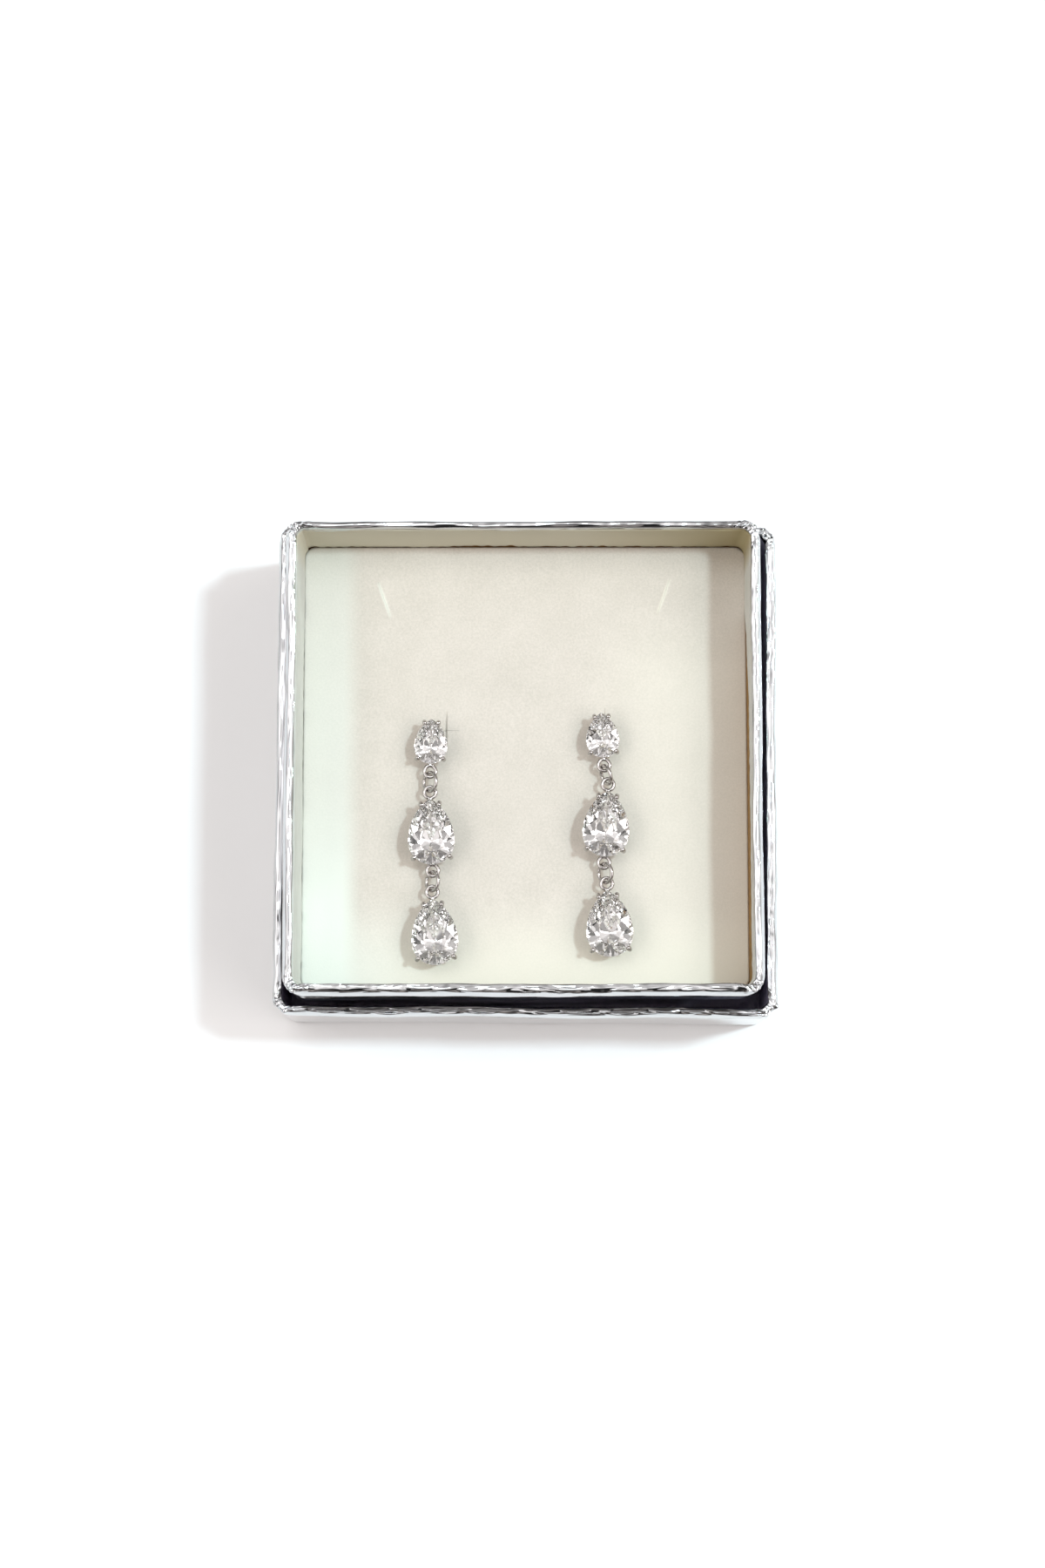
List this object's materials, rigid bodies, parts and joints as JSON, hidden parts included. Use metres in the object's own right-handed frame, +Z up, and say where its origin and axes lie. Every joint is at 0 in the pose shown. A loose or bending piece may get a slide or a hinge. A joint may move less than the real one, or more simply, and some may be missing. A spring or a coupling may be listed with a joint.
{
  "type": "pair of teardrop drop earrings in a gift box",
  "caption": "Pear-cut stud, middle and drop stones in wire claw baskets on jump rings, lying on a foam pad in a square foil tray that stands in its upturned lid.",
  "frame": {"origin": "centre of the underside of the upturned lid, which the box stands on", "axes": "+Z up out of the open tray, +Y from the drops towards the studs and the tray's back wall, +X to the right"},
  "size_m": [0.0756, 0.0748, 0.0355],
  "materials": {
    "foil_board": "board wrapped in bright silver metallised foil paper, slightly crinkled at the rims and corners",
    "lining_paper": "uncoated cream paper",
    "flocked_foam": "cream flock on foam, with knife-cut slits",
    "plated_metal": "polished silver-coloured plating",
    "clear_stone": "faceted and polished clear cubic zirconia"
  },
  "bodies": {
    "root": {"lid_shell": "foil_board", "tray_shell": "foil_board", "tray_lining": "lining_paper", "pad": "flocked_foam", "left_stud_setting": "plated_metal", "left_stud_stone": "clear_stone", "left_upper_link": "plated_metal", "left_middle_setting": "plated_metal", "left_middle_stone": "clear_stone", "left_lower_link": "plated_metal", "left_drop_setting": "plated_metal", "left_drop_stone": "clear_stone", "right_stud_setting": "plated_metal", "right_stud_stone": "clear_stone", "right_upper_link": "plated_metal", "right_middle_setting": "plated_metal", "right_middle_stone": "clear_stone", "right_lower_link": "plated_metal", "right_drop_setting": "plated_metal", "right_drop_stone": "clear_stone"}
  },
  "joints": []
}
